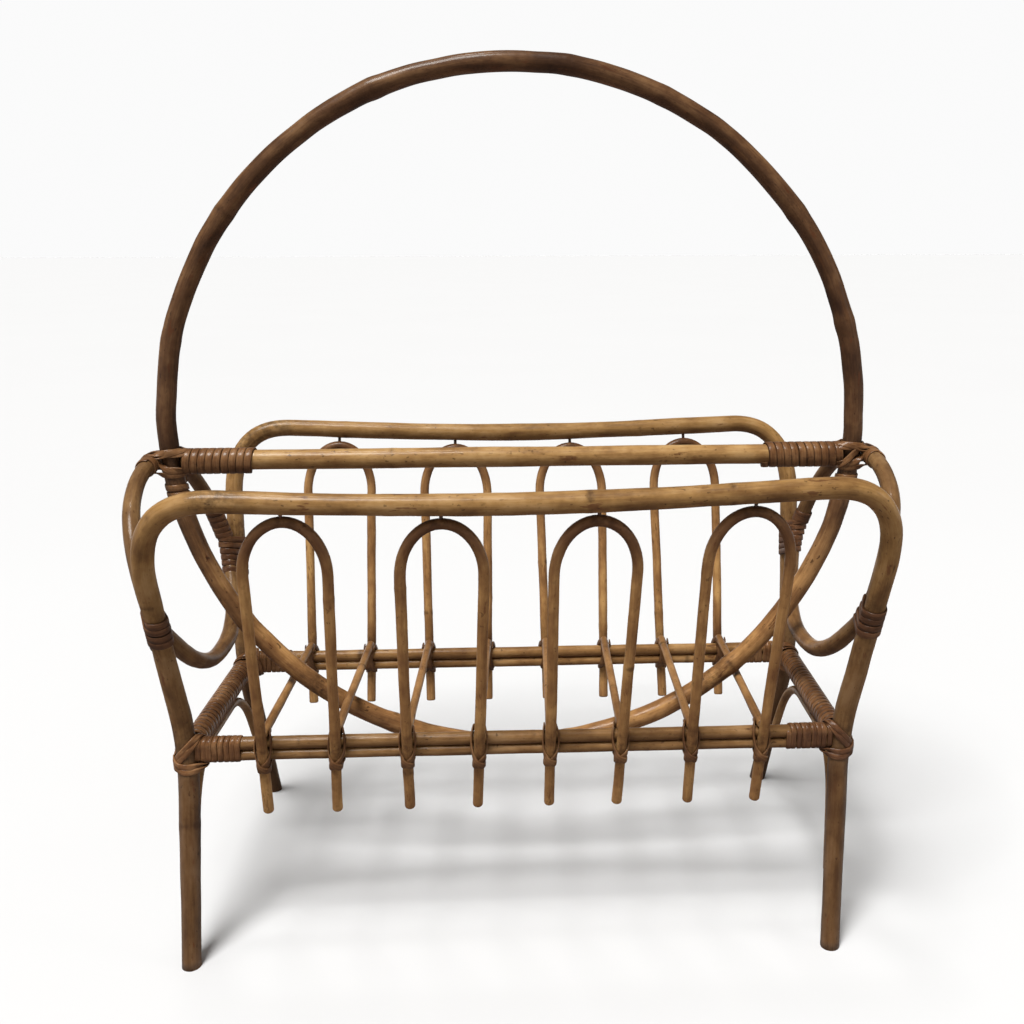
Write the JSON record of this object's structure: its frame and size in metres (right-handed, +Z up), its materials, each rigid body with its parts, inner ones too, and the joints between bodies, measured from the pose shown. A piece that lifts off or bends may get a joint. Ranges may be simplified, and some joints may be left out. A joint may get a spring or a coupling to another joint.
{
  "type": "magazine basket",
  "caption": "Free-standing rattan magazine basket with a round hoop handle, slatted arch sides, an oval ring at each end and cane bindings.",
  "frame": {"origin": "on the floor, midway between the feet and in the plane of the hoop's middle", "axes": "+Z up, +X to the right along the long side, front towards -Y"},
  "size_m": [0.4396, 0.2446, 0.4945],
  "materials": {
    "pole": "varnished rattan pole",
    "rod": "varnished thin rattan rod",
    "floor_bar": "varnished rattan rod",
    "cane": "varnished cane strip"
  },
  "bodies": {
    "root": {"hoop": "pole", "centre_bar": "pole", "front_frame": "pole", "rear_frame": "pole", "front_upper_rail": "pole", "front_lower_rail": "pole", "rear_upper_rail": "pole", "rear_lower_rail": "pole", "left_side_rail": "pole", "right_side_rail": "pole", "front_arch_1": "rod", "front_arch_2": "rod", "front_arch_3": "rod", "front_arch_4": "rod", "rear_arch_1": "rod", "rear_arch_2": "rod", "rear_arch_3": "rod", "rear_arch_4": "rod", "left_end_ring": "rod", "right_end_ring": "rod", "left_leg_brace": "rod", "right_leg_brace": "rod", "floor_bar_1": "floor_bar", "floor_bar_2": "floor_bar", "floor_bar_3": "floor_bar", "floor_bar_4": "floor_bar", "floor_bar_5": "floor_bar", "floor_bar_6": "floor_bar", "floor_bar_7": "floor_bar", "floor_bar_8": "floor_bar", "front_arch_tie_1": "cane", "front_arch_tie_2": "cane", "front_arch_tie_3": "cane", "front_arch_tie_4": "cane", "front_arch_tie_5": "cane", "front_arch_tie_6": "cane", "front_arch_tie_7": "cane", "front_arch_tie_8": "cane", "rear_arch_tie_1": "cane", "rear_arch_tie_2": "cane", "rear_arch_tie_3": "cane", "rear_arch_tie_4": "cane", "rear_arch_tie_5": "cane", "rear_arch_tie_6": "cane", "rear_arch_tie_7": "cane", "rear_arch_tie_8": "cane", "left_hoop_tie": "cane", "right_hoop_tie": "cane", "left_bar_winding": "cane", "right_bar_winding": "cane", "left_side_winding": "cane", "right_side_winding": "cane", "front_left_corner_winding": "cane", "front_right_corner_winding": "cane", "rear_left_corner_winding": "cane", "rear_right_corner_winding": "cane", "front_left_ring_tie": "cane", "front_right_ring_tie": "cane", "rear_left_ring_tie": "cane", "rear_right_ring_tie": "cane"}
  },
  "joints": []
}
